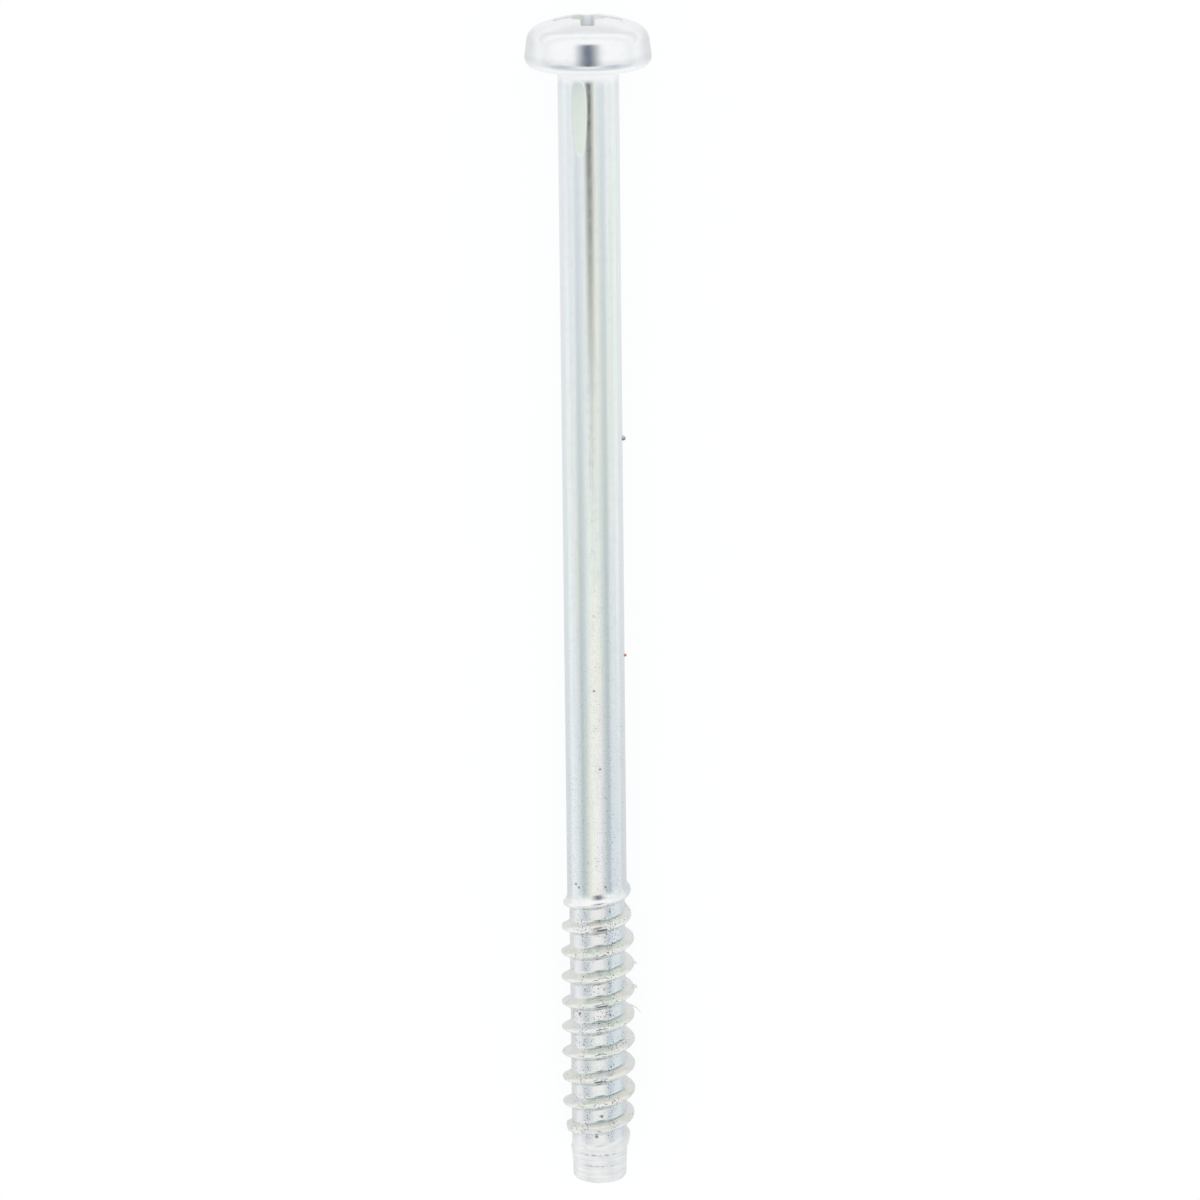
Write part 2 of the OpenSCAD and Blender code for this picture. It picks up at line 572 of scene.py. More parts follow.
    def dome_and_side(self, start: Ring) -> list[Ring]:
        """Rings from the recess's mouth over the dome and the side to the neck's fillet.

        Args:
            start: The last ring of the recess's mouth.

        Returns:
            The rings after it.
        """
        s = self.sizes
        out = np.array([math.cos(s.side_lean), math.sin(s.side_lean)])
        edge = np.array([s.head_r - s.head_edge_r, s.head_edge_r])
        dome = np.array([0.0, s.head_h - s.dome_r])
        reach = edge @ out + s.head_edge_r - s.shoulder_r - dome @ out
        rise = math.sqrt((s.dome_r - s.shoulder_r) ** 2 - reach**2)
        shoulder = dome + reach * out + rise * np.array([-out[1], out[0]])
        brow = math.atan2(*(shoulder - dome)[::-1])
        rim_r = s.dome_r * math.cos(brow)
        rings = []
        rim = circle_ring(rim_r, 0.0)
        for i in range(1, self.dome_rings + 1):
            t = i / self.dome_rings
            ring = start + (rim - start) * t
            ring[:, 2] = [self.dome_z(r) for r in np.hypot(ring[:, 0], ring[:, 1])]
            rings.append(ring)
        profile = arc_profile(tuple(shoulder), s.shoulder_r, brow, s.side_lean, self.shoulder_steps)[1:]
        top = np.array(profile[-1])
        bottom = edge + s.head_edge_r * out
        profile += [tuple(top + (bottom - top) * t) for t in (0.34, 0.67)]
        profile += arc_profile(tuple(edge), s.head_edge_r, s.side_lean, -math.pi / 2, self.edge_steps)
        neck = s.shank_r + s.neck_fillet_r
        profile += [(edge[0] + (neck - edge[0]) * t, 0.0) for t in (0.33, 0.67)]
        fillet = (neck, -s.neck_fillet_r)
        profile += arc_profile(fillet, s.neck_fillet_r, math.pi / 2, math.pi, self.fillet_steps)
        return rings + [circle_ring(r, z) for r, z in profile]

    def rings(self) -> list[Ring]:
        """All of the head's rings, from the recess's floor to the shank."""
        recess = self.recess_rings()
        return recess + self.dome_and_side(recess[-1])

    def pole(self) -> Vector:
        """The recess's deepest point."""
        return Vector((0, 0, self.floor_z))


@dataclass
class Shank:
    """The drawn shank, with the flat mark of the die that gripped it under the head."""

    sizes: ScrewSizes
    end_depth: float
    mark_azimuth: float = math.radians(-19)
    mark_depth: float = 0.048 * MM
    mark_start: float = 0.55 * MM
    mark_end: float = 4.35 * MM
    mark_round: float = 0.25 * MM
    mark_ease: float = 1.3 * MM
    mark_taper: float = 2.6 * MM
    mark_narrowing: float = 0.85
    mark_turn: float = math.radians(3)
    mark_flatness: float = 0.92
    mark_reach: float = 1.2
    fine_step: float = 0.1 * MM
    fine_end: float = 5.0 * MM
    coarse_step: float = 1.0 * MM

    def kept_at(self, depth: float) -> float:
        """The share of its depth that the die's mark keeps as it narrows towards its lower end."""
        ended = np.clip(1 - (self.mark_end - depth) / self.mark_taper, 0, 1)
        return float(1 - self.mark_narrowing * ended**2)

    def mark_at(self, depth: float) -> float:
        """How deep the die's mark is.

        Args:
            depth: The depth along the shank.

        Returns:
            The mark's own depth.
        """
        into = np.clip((depth - self.mark_start) / self.mark_ease, 0, 1)
        left = np.clip((self.mark_end - depth) / self.mark_round, 0, 1)
        full = self.mark_depth * math.sqrt(1 - (1 - into) ** 2) * math.sqrt(1 - (1 - left) ** 2)
        return full * self.kept_at(depth)

    def ring(self, depth: float) -> Ring:
        """The shank's ring of points, flattened where the die gripped it.

        Args:
            depth: The depth along the shank.

        Returns:
            The ring.
        """
        ring = circle_ring(self.sizes.shank_r, -depth)
        azimuth = np.arctan2(ring[:, 0], -ring[:, 1])
        middle = self.mark_azimuth + self.mark_turn * (1 - math.sqrt(self.kept_at(depth)))
        off = (azimuth - middle + math.pi) % (2 * math.pi) - math.pi
        facing = np.cos(self.mark_flatness * np.clip(off, -self.mark_reach, self.mark_reach))
        share = np.minimum(1.0, (1 - self.mark_at(depth) / self.sizes.shank_r) / facing)
        ring[:, :2] *= share[:, None]
        return ring

    def rings(self) -> list[Ring]:
        """The rings from below the neck's fillet to the thread's start."""
        first = self.sizes.neck_fillet_r
        fine = np.arange(first + self.fine_step, self.fine_end, self.fine_step)
        coarse = np.arange(self.fine_end, self.end_depth, self.coarse_step)
        return [self.ring(d) for d in [*fine, *coarse, self.end_depth]]


@dataclass
class BluntTip:
    """The blunt end, with its rounded edge."""

    sizes: ScrewSizes
    start_depth: float
    edge_steps: int = 6
    face_rings: int = 5
    hollow: float = 0.05 * MM

    def rings(self) -> list[Ring]:
        """Rings from the end of the thread round the edge and over the end face."""
        s = self.sizes
        centre = (s.tip_r - s.tip_edge_r, s.tip_edge_r - s.length)
        profile = [(s.tip_r, -self.start_depth)]
        profile += arc_profile(centre, s.tip_edge_r, 0, -math.pi / 2, self.edge_steps)[1:]
        for i in range(1, self.face_rings):
            t = i / self.face_rings
            profile.append((centre[0] * (1 - t), -s.length + self.hollow * math.sin(t * math.pi / 2)))
        return [circle_ring(r, z) for r, z in profile]

    def pole(self) -> Vector:
        """The middle of the end face."""
        return Vector((0, 0, self.hollow - self.sizes.length))


@dataclass(frozen=True)
class GridPoint:
    """A point of the thread's grid.

    along is its place across the ridges, a whole number on a crest, and turn its share of a turn
    from the right of the front.
    """

    graph: Graph
    size: Mapping[str, Value]
    depth: Value
    along: Value
    turn: Value


@dataclass
class RolledThread:
    """The threaded end: a helical grid made by Geometry Nodes, one row along each line of the ridge."""

    sizes: ScrewSizes
    start_depth: float = 43.0 * MM
    end_depth: float = 59.8 * MM
    crest_w: float = 0.13 * MM
    root_round: float = 0.11 * MM
    crest_round: float = 0.05 * MM
    nick_depth: float = 0.08 * MM
    nick_azimuth: float = math.radians(4)
    nick_half_angle: float = math.radians(11)
    uneven: float = 0.035 * MM
    cut_round: float = 0.02 * MM
    run_out: float = 150 / 360
    run_out_rate: float = 3.0
    flare_rate: float = 8.0
    open_share: float = 1.01
    uneven_span: Span = (0.3, 1.0)
    seed: float = NICK_SEED

    def inputs(self) -> dict[str, float]:
        """The tree's inputs by name."""
        s = self.sizes
        return {
            "Start": self.start_depth,
            "End": self.end_depth,
            "Pitch": s.pitch,
            "Lip Depth": s.lip_depth,
            "Flare Length": s.lip_l,
            "Growth Depth": s.growth_depth,
            "Full Depth": s.full_depth,
            "Fade Depth": s.fade_depth,
            "Fade End": s.fade_end_depth,
            "Shank Radius": s.shank_r,
            "Lip Radius": s.lip_r,
            "Crest Radius": s.thread_r,
            "Core Radius": s.core_r,
            "Fade Radius": s.fade_end_r,
            "Tip Radius": s.tip_r,
            "Crest Width": self.crest_w,
            "Flank Slope": math.tan(s.flank_half_angle),
            "Root Round": self.root_round,
            "Crest Round": self.crest_round,
            "Nick Depth": self.nick_depth,
            "Uneven": self.uneven,
            "Seed": self.seed,
        }

    def tree(self, material: bpy.types.Material) -> bpy.types.NodeTree:
        """Builds the tree that grows the thread.

        Args:
            material: The finish that the tree sets.

        Returns:
            A geometry node group with named inputs.
        """
        group = bpy.data.node_groups.new("rolled_thread", "GeometryNodeTree")
        graph = Graph(group)
        face = group.interface
        face.new_socket("Geometry", in_out="OUTPUT", socket_type="NodeSocketGeometry")
        for name in self.inputs():
            face.new_socket(name, in_out="INPUT", socket_type="NodeSocketFloat")
        given = graph.node("NodeGroupInput")
        size = {name: given.other(name) for name in self.inputs()}

        s = self.sizes
        first_row = math.floor((self.start_depth - s.lip_depth) / s.pitch * ROWS_PER_TURN) - 0.5
        last_row = math.ceil(((self.end_depth - s.lip_depth) / s.pitch + 1) * ROWS_PER_TURN) + 0.5
        rows = int(last_row - first_row)
        grid = graph.node(
            "GeometryNodeMeshGrid",
            None,
            {"Size X": 1.0, "Size Y": 1.0, "Vertices X": COLUMNS + 1, "Vertices Y": rows + 1},
            "Mesh",
        )
        x, y, _ = graph.axes(graph.node("GeometryNodeInputPosition"))
        turn = graph.math("ROUND", (x + 0.5) * COLUMNS) / COLUMNS
        row = graph.math("ROUND", (y + 0.5) * rows) + first_row
        along = row / ROWS_PER_TURN

        free_depth = size["Lip Depth"] + size["Pitch"] * (along - turn)
        depth = graph.smaller(graph.larger(free_depth, size["Start"]), size["End"])
        radius = self.radius(GridPoint(graph, size, depth, along, turn))
        angle = turn * (2 * math.pi)
        laid = graph.vector(
            radius * graph.math("COSINE", angle), radius * graph.math("SINE", angle), -depth
        )
        moved = graph.node("GeometryNodeSetPosition", None, {"Geometry": grid, "Position": laid})
        welded = graph.node("GeometryNodeMergeByDistance", None, {"Geometry": moved, "Distance": WELD})
        real = graph.node("GeometryNodeRealizeInstances", None, {"Geometry": welded})
        dressed = graph.node("GeometryNodeSetMaterial", None, {"Geometry": real, "Material": material})
        graph.node("NodeGroupOutput", None, {"Geometry": dressed}, None)
        return group

    def outline(self, at: GridPoint) -> Value:
        """The radius of the blank, with the flared lip, the grown crests and the blunt end.

        Args:
            at: The point of the grid.

        Returns:
            The radius that no ridge stands out of.
        """
        graph, size = at.graph, at.size

        def flare(edge: float) -> Value:
            """How far the lip opens near one of its two edges, from 0 to 1."""
            near = graph.clamped(1.0 - abs(at.along - edge) * size["Pitch"] / size["Flare Length"])
            return near * near * near

        opened = graph.clamped((self.run_out - at.turn) * self.run_out_rate)
        past_start = graph.clamped(at.along * SUDDEN) * graph.clamped(1.0 - at.turn * self.flare_rate)
        past_lip = graph.larger(past_start, graph.clamped((at.along - 1.0) * SUDDEN))
        flared = graph.larger(graph.larger(flare(0.0) * opened, flare(1.0)), past_lip)
        grown = graph.step(at.depth, size["Growth Depth"], size["Full Depth"])
        faded = graph.step(at.depth, size["Fade Depth"], size["Fade End"])
        ended = graph.step(at.depth, size["Fade End"], size["End"], smooth=False)
        return (
            size["Shank Radius"]
            + (size["Lip Radius"] - size["Shank Radius"]) * flared
            + (size["Crest Radius"] - size["Lip Radius"]) * grown
            - (size["Crest Radius"] - size["Fade Radius"]) * faded
            - (size["Fade Radius"] - size["Tip Radius"]) * ended
        )

    def groove(self, at: GridPoint) -> Value:
        """The radius of the groove between two ridges, which runs out under the lip.

        Args:
            at: The point of the grid.

        Returns:
            The radius of the floor or the flank.
        """
        graph, size = at.graph, at.size
        ridge = graph.math("FLOOR", at.along)
        off_groove = abs(at.along - ridge - 0.5) * size["Pitch"]
        half_groove = (size["Pitch"] - size["Crest Width"]) * 0.5
        flank = size["Crest Radius"] - (half_groove - off_groove) / size["Flank Slope"]
        sunk = graph.clamped((self.run_out - at.turn + ridge) * self.run_out_rate)
        open_r = size["Crest Radius"] * self.open_share
        floor = open_r - (open_r - size["Core Radius"]) * sunk
        return graph.math("SMOOTH_MAX", floor, flank, size["Root Round"])

    def crest_cut(self, at: GridPoint) -> Value:
        """How much lower an uneven, nicked crest is than a full one.

        Args:
            at: The point of the grid.

        Returns:
            The depth of metal that is missing.
        """
        graph, size = at.graph, at.size
        azimuth = graph.math("WRAP", at.turn + 0.25, 0.5, -0.5) * (2 * math.pi)
        nearest = graph.math("ROUND", at.along)
        chance = graph.math("SINE", nearest * NICK_RATE + size["Seed"])
        nick = graph.bump(azimuth - chance * NICK_WANDER, self.nick_azimuth, self.nick_half_angle)
        nick_share = graph.clamped(nick * 2.0) * (0.65 + graph.math("SINE", nearest * 7.1) * 0.35)
        level = at.along - at.turn
        down = (level + 0.75) * 1.7 + size["Seed"]
        spot = graph.vector(graph.math("COSINE", azimuth), graph.math("SINE", azimuth), down)
        rough = graph.clamped(graph.noise(spot, 3.0, 3.0) * 2.0 - 0.5)
        cut = nick_share * size["Nick Depth"] + rough * size["Uneven"]
        return cut * graph.step(level, *self.uneven_span)

    def radius(self, at: GridPoint) -> Value:
        """The surface's radius.

        Args:
            at: The point of the grid.

        Returns:
            The radius.
        """
        graph, size = at.graph, at.size
        crest = size["Crest Radius"] - self.crest_cut(at)
        limit = graph.math("SMOOTH_MIN", self.outline(at), crest, self.cut_round)
        return graph.math("SMOOTH_MIN", limit, self.groove(at), size["Crest Round"])

    def mesh(self, material: bpy.types.Material) -> bpy.types.Mesh:
        """Runs the tree on an empty host and takes the plain mesh that it makes.

        Args:
            material: The finish that the tree sets.

        Returns:
            The thread's open skin, upright and in metres.
        """
        host = linked("thread_host", bpy.data.meshes.new("thread_host"))
        modifier = host.modifiers.new("rolled_thread", "NODES")
        modifier.node_group = self.tree(material)
        values = self.inputs()
        for item in modifier.node_group.interface.items_tree:
            if item.item_type == "SOCKET" and item.in_out == "INPUT":
                modifier[item.identifier] = values[item.name]
        ready = host.evaluated_get(bpy.context.evaluated_depsgraph_get())
        mesh = bpy.data.meshes.new_from_object(ready)
        host.modifiers.remove(modifier)
        bpy.data.objects.remove(host)
        return mesh


@dataclass
class Burr:
    """A torn tag of metal or a stuck speck: a small closed body that tapers to a point.

    Its root lies at root_r from the axis. It reaches out by its length and droops towards the tip.
    thickness is its share of the width, and a small taper keeps it blunt.
    """

    depth: float
    azimuth: float
    length: float
    width: float
    droop: float
    root_r: float = 1.85 * MM
    taper: float = 0.4
    thickness: float = 0.45
    sides: int = 6
    steps: int = 6

    def skin(self) -> tuple[list[tuple[float, float, float]], list[tuple[int, ...]]]:
        """The sliver's points and faces, upright."""
        points: list[tuple[float, float, float]] = []
        out = Vector((math.sin(self.azimuth), -math.cos(self.azimuth), 0))
        side = Vector((math.cos(self.azimuth), math.sin(self.azimuth), 0))
        down = Vector((0, 0, -1))
        for i in range(self.steps):
            t = i / self.steps
            middle = out * (self.root_r + self.length * t) + down * (self.depth + self.droop * t * t)
            half = self.width * (1 - t) ** self.taper / 2
            for k in range(self.sides):
                angle = 2 * math.pi * k / self.sides
                flat = self.thickness * math.sin(angle)
                point = middle + side * (half * math.cos(angle)) + down * (half * flat)
                points.append(tuple(point))
        tip = out * (self.root_r + self.length) + down * (self.depth + self.droop)
        root = out * self.root_r + down * self.depth
        points += [tuple(tip), tuple(root)]
        tip_at, root_at = len(points) - 2, len(points) - 1
        faces: list[tuple[int, ...]] = []
        for k in range(self.sides):
            after = (k + 1) % self.sides
            faces.append((k, after, root_at))
            last = (self.steps - 1) * self.sides
            faces.append((last + k, tip_at, last + after))
            for i in range(self.steps - 1):
                a, b = i * self.sides, (i + 1) * self.sides
                faces.append((a + k, b + k, b + after, a + after))
        return points, faces


@dataclass(frozen=True)
class ZincPlate:
    """Bright zinc plate on drawn and rolled steel.

    Places are in the upright screw's millimetres or radians. A span gives where a change starts
    and where it ends. A speck is its azimuth in degrees, its depth and its radius.
    """

    name: str = "bright_zinc"
    lilac: Colour = (0.86, 0.87, 0.905)
    cool: Colour = (0.84, 0.90, 0.915)
    silver: Colour = (0.87, 0.90, 0.905)
    green: Colour = (0.84, 0.90, 0.85)
    straw: Colour = (0.89, 0.905, 0.81)
    rose: Colour = (0.88, 0.87, 0.88)
    line_grey: Colour = (0.62, 0.68, 0.71)
    grain_grey: Colour = (0.45, 0.52, 0.53)
    cloud_grey: Colour = (0.68, 0.75, 0.77)
    head: Colour = (0.935, 0.945, 0.95)
    head_cool: Colour = (0.90, 0.92, 0.935)
    # A grey painted reflection along the head's lower edge.
    edge_reflection_grey: Colour = (0.62, 0.68, 0.72)
    flank_straw: Colour = (0.89, 0.865, 0.79)
    flank_green: Colour = (0.80, 0.86, 0.765)
    flank_grey: Colour = (0.84, 0.85, 0.87)
    # Burnished crests, whitened further as a painted highlight; it also paints the lip's highlight.
    burnish_highlight_white: Colour = (0.95, 0.95, 0.945)
    core_rose: Colour = (0.88, 0.87, 0.87)
    # A painted blue reflection on the right of the thread's core.
    core_reflection_blue: Colour = (0.82, 0.88, 0.91)
    # Painted shade in the thread's roots.
    root_shade_teal: Colour = (0.22, 0.33, 0.35)
    mark_green: Colour = (0.81, 0.88, 0.78)
    # Matt frosted neck, whitened as a painted highlight.
    frost_highlight_white: Colour = (0.97, 0.98, 0.98)
    scraped: Colour = (0.97, 0.97, 0.965)
    scratch_grey: Colour = (0.64, 0.65, 0.64)
    stain: Colour = (0.10, 0.12, 0.12)
    # Painted shade on the recess walls, and a light-blue painted reflection in the recess.
    walls_shade_grey: Colour = (0.74, 0.78, 0.71)
    recess_reflection_blue: Colour = (0.84, 0.90, 0.98)
    rust: Colour = (0.55, 0.22, 0.07)
    rust_spot: Spot = (89.0, 31.1, 0.17)
    specks: tuple[Spot, ...] = (
        (90.0, 19.45, 0.24),
        (17.0, 43.33, 0.10),
        (-44.0, 43.25, 0.11),
        (-37.0, 43.4, 0.09),
        (8.0, 36.85, 0.09),
        (-2.0, 32.6, 0.09),
        (-42.0, 50.45, 0.15),
        (5.0, 56.1, 0.14),
        (-6.0, 57.25, 0.14),
        (-20.0, 58.9, 0.09),
    )
    tint_middle: float = 0.57
    tint_spread: float = 0.66
    streak_scale: float = 1.1
    line_scale: float = 16.0
    grain_scale: float = 15.0
    cloud_scale: float = 2.2
    pit_scale: float = 11.0
    shank_span: Span = (0.3, 0.8)
    head_span: Span = (0.35, 0.9)
    thread_span: Span = (-0.2, 0.3)
    below_lip_span: Span = (1.03, 1.08)
    front_span: Span = (0.75, 1.3)
    low_edge_rise: Span = (0.24, 0.46)
    low_edge_fall: Span = (0.52, 0.95)
    low_edge_reach: Span = (2.4, 2.6)
    neck_rise: Span = (-0.36, -0.22)
    neck_fall: Span = (0.32, 0.7)
    mark_span: Span = (0.004, 0.012)
    mark_end: float = 5.0
    grain_span: Span = (14.0, 40.0)
    pitted_span: Span = (18.0, 44.0)
    ridge_span: Span = (0.03, 0.12)
    flare_span: Span = (0.01, 0.08)
    root_line: float = -0.37
    root_half_width: float = 0.075
    root_end: Span = (56.6, 57.4)
    dashes_end: Span = (57.6, 57.9)
    worn_span: Span = (57.2, 57.9)
    torn_rings: tuple[float, float] = (58.3, 58.95)
    bump_depth: float = 0.007 * MM

    def material(self, sizes: ScrewSizes) -> bpy.types.Material:
        """A new material with this finish."""
        material, graph = new_material(self.name)
        PlateTree(graph.tree, self, sizes).build()
        return material


class PlateTree(Graph):
    """The plate's node tree, with a point's place on the upright screw in millimetres and radians.

    aside is the azimuth without its sign, and around the direction from the axis, as long as the
    shank's radius. level is the depth past the lip in pitches, along the place across the ridges, a
    whole number on a crest, and past_crest the distance past the nearest crest. The four masks are
    1 on the shank and the thread, on the thread, below the lip, and round the front.
    """

    def __init__(self, tree: bpy.types.NodeTree, plate: ZincPlate, sizes: ScrewSizes) -> None:
        """Works out a point's measures and masks.

        Args:
            tree: The material's tree.
            plate: The finish's colours and places.
            sizes: The screw's sizes.
        """
        super().__init__(tree)
        self.plate = plate
        self.shank_mm, self.core_mm = sizes.shank_r / MM, sizes.core_r / MM
        self.dome_mm, self.head_mm = sizes.dome_r / MM, sizes.head_h / MM
        lip, pitch = sizes.lip_depth / MM, sizes.pitch / MM
        back = sizes.lying().inverted()
        move = {
            "Vector": self.node("ShaderNodeTexCoord", None, None, "Object"),
            "Location": back.to_translation() / MM,
            "Rotation": back.to_euler("XYZ"),
            "Scale": (1 / MM, 1 / MM, 1 / MM),
        }
        self.place = self.node("ShaderNodeMapping", {"vector_type": "POINT"}, move)
        self.x, self.y, self.z = x, y, z = self.axes(self.place)
        self.depth = -z
        self.radius = self.math("SQRT", x * x + y * y)
        self.azimuth = self.math("ARCTAN2", x, -y)
        self.aside = abs(self.azimuth)
        from_axis = self.larger(self.radius, 0.2)
        self.around = (x / from_axis * self.shank_mm, y / from_axis * self.shank_mm)
        turn = self.math("FRACT", self.math("ARCTAN2", y, x) / (2 * math.pi))
        self.along = (self.depth - lip) / pitch + turn
        self.level = self.along - turn
        self.past_crest = self.math("WRAP", self.along, 0.5, -0.5) * pitch
        self.on_shank = self.step(self.depth, *plate.shank_span)
        self.on_thread = self.past(self.depth, lip, plate.thread_span)
        self.below_lip = self.step(self.along, *plate.below_lip_span)
        self.frontal = self.fall(self.aside, *plate.front_span)

    def past(self, value: Value, place: float, span: Span) -> Value:
        """A number that runs from 0 to 1 over a span that is measured from a place."""
        return self.step(value, place + span[0], place + span[1])

    def build(self) -> None:
        """Builds the shader from the colour, the roughness and the relief."""
        plate = self.plate
        drawn = self.vector(*self.around, self.depth * 0.02)
        lines = self.noise(drawn, plate.line_scale, 3.0, 0.6) * self.on_shank
        cloud = self.noise(self.place, plate.cloud_scale, 3.0, 0.6)
        clouded = self.step(cloud, 0.45, 0.75)
        colour = self.mix(
            self.on_shank * self.step(self.depth, *plate.head_span),
            self.head_plate(clouded),
            self.shank_plate(lines, clouded),
        )
        colour = self.grip_mark(colour)
        colour, on_flare = self.thread_plate(colour)
        pits = self.pits() * (1.0 - on_flare)
        dark = self.dark_spots(pits)
        colour = self.mix(dark * 0.9, colour, plate.stain)
        colour = self.mix(self.speck(*plate.rust_spot), colour, plate.rust)
        colour, in_recess = self.recess_shade(colour)
        # The neck's fillet is matt and frosted, and its whiter colour, mostly at the front, is a painted
        # highlight.
        under = self.band(self.depth, plate.neck_rise, plate.neck_fall)
        frost_and_highlight = under * self.larger(self.frontal, self.fall(self.radius, 2.2, 2.5))
        colour = self.mix(frost_and_highlight, colour, plate.frost_highlight_white)
        worn_end = self.step(self.depth, *plate.worn_span)
        colour, scratches = self.scraped_end(worn_end, colour)

        roughness = (
            0.1
            + lines * 0.14
            + (1.0 - self.on_shank) * 0.1
            + in_recess * 0.25
            + frost_and_highlight * 0.3
            + self.on_thread * 0.08
            + dark * 0.2
            + self.step(cloud, 0.4, 0.7) * 0.04
            + worn_end * 0.14
        )
        height = (
            lines * 0.5
            + self.noise(self.place, 9.0, 3.0, 0.6) * (0.25 + self.on_thread * 0.45)
            - pits * 0.9
            + scratches * worn_end * 1.4
        )
        relief = {"Strength": 0.6, "Distance": plate.bump_depth, "Height": height}
        finish = {
            "Base Color": colour,
            "Metallic": 1.0 - in_recess * 0.85 - frost_and_highlight * 0.75 - worn_end * 0.3,
            "Roughness": roughness,
            "Normal": self.node("ShaderNodeBump", None, relief),
        }
        self.show(self.node("ShaderNodeBsdfPrincipled", None, finish))

    def shank_plate(self, lines: Value, clouded: Value) -> Value:
        """The shank's faint rainbow tints, which turn cool and lilac towards the sides as a painted
        reflection, with drawing lines, grain and clouds.

        Args:
            lines: The height of the drawing lines.
            clouded: 1 in a cloud and 0 outside it.

        Returns:
            The colour.
        """
        plate = self.plate
        slow = self.vector(*self.around, self.depth * 0.035)
        # The shift to cool and lilac towards the sides is a painted reflection.
        tint = (
            plate.tint_middle
            + (self.noise(slow, plate.streak_scale, 2.0, 0.45) - 0.5) * plate.tint_spread
            - self.step(self.aside, 0.25, 0.8) * 0.17
            - self.step(self.aside, 1.0, 1.3) * 0.12
        )
        stops = [
            (0.27, plate.lilac),
            (0.39, plate.cool),
            (0.46, plate.silver),
            (0.53, plate.green),
            (0.61, plate.straw),
            (0.70, plate.rose),
        ]
        colour = self.mix(self.step(lines, 0.35, 0.75) * 0.2, self.ramp(tint, stops), plate.line_grey)
        grain = self.noise(self.place, plate.grain_scale, 2.0, 0.6)
        grained = self.step(grain, 0.5, 0.66) * (self.step(self.depth, *plate.grain_span) * 0.24 + 0.06)
        colour = self.mix(grained * self.on_shank, colour, plate.grain_grey)
        return self.mix(clouded * 0.2, colour, plate.cloud_grey)

    def head_plate(self, clouded: Value) -> Value:
        """The head's colour, with a grey painted reflection along its lower edge, strongest at the front.

        Args:
            clouded: 1 in a cloud and 0 outside it.

        Returns:
            The colour.
        """
        plate = self.plate
        colour = self.mix(clouded, plate.head, plate.head_cool)
        low = self.band(self.z, plate.low_edge_rise, plate.low_edge_fall)
        painted_edge_band = low * self.step(self.radius, *plate.low_edge_reach)
        return self.mix(painted_edge_band * (self.frontal * 0.26 + 0.2), colour, plate.edge_reflection_grey)

    def grip_mark(self, colour: Value) -> Value:
        """Tints the flat mark of the gripping die a mottled green.

        Args:
            colour: The plate's colour.

        Returns:
            The colour with the mark in it.
        """
        plate = self.plate
        inward = self.step(self.shank_mm - self.radius, *plate.mark_span)
        in_mark = inward * self.step(plate.mark_end - self.depth, 0.0, 0.3)
        mottled = self.step(self.noise(self.place, 1.3), 0.42, 0.6) * 0.5
        tone = self.mix(mottled, plate.mark_green, plate.straw)
        return self.mix(in_mark * self.on_shank * 0.7, colour, tone)

    def thread_plate(self, colour: Value) -> tuple[Value, Value]:
        """Tints the core and the flanks, and paints a blue reflection on the core, highlights on the
        crests, the ridges' sides and the lip, and shade in the roots.

        Args:
            colour: The shank's colour.

        Returns:
            The colour, and 1 on the flared lip and 0 elsewhere.
        """
        plate = self.plate
        on_ridge = self.past(self.radius, self.core_mm, plate.ridge_span) * self.below_lip
        patches = self.noise(self.vector(self.x, self.y, (self.level + 0.75) * 2.3), 0.9, 2.0, 0.5)
        flank = self.ramp(
            patches, [(0.36, plate.flank_grey), (0.47, plate.flank_straw), (0.60, plate.flank_green)]
        )
        # The core turns blue towards the right: a painted reflection.
        core = self.mix(self.step(self.azimuth, 0.2, 0.75), plate.core_rose, plate.core_reflection_blue)
        colour = self.mix(self.below_lip * (1.0 - on_ridge) * 0.6, colour, core)
        # Crests and lower flanks are white, more so at the ridges' sides: burnished metal with a painted
        # highlight.
        upper = self.fall(self.past_crest, -0.09, -0.03) * (1.0 - self.step(self.aside, 0.8, 1.25) * 0.6)
        colour = self.mix(on_ridge, colour, self.mix(upper, plate.burnish_highlight_white, flank))
        # A dark teal line of painted shade in the root above each ridge, round the front.
        painted_root_line = (
            self.bump(self.past_crest, plate.root_line, plate.root_half_width)
            * self.step(self.azimuth, -0.8, 0.0)
            * self.below_lip
            * self.fall(self.azimuth, 0.75, 1.25)
            * self.fall(self.depth, *plate.root_end)
        )
        colour = self.mix(painted_root_line * 0.75, colour, plate.root_shade_teal)
        # The flared lip is painted white: a painted highlight.
        flared = self.past(self.radius, self.shank_mm, plate.flare_span)
        on_flare = self.on_thread * (1.0 - self.below_lip) * flared
        return self.mix(on_flare, colour, plate.burnish_highlight_white), on_flare

    def pits(self) -> Value:
        """Small pits in groups, more of them towards the tip: 1 in a pit and 0 outside it."""
        plate = self.plate
        spots = self.noise(self.place, plate.pit_scale, 2.0, 0.5)
        bands = self.larger(self.bump(self.azimuth, -0.45, 0.24), self.bump(self.azimuth, 0.45, 0.26))
        grouped = self.step(self.noise(self.place, 1.1, 1.0, 0.5), 0.42, 0.64)
        groups = self.clamped(grouped * 0.75 + bands)
        pitted = self.step(self.depth, *plate.pitted_span) * 0.9 + 0.1
        return self.step(spots + groups * 0.05 + self.on_thread * 0.02, 0.65, 0.70) * groups * pitted

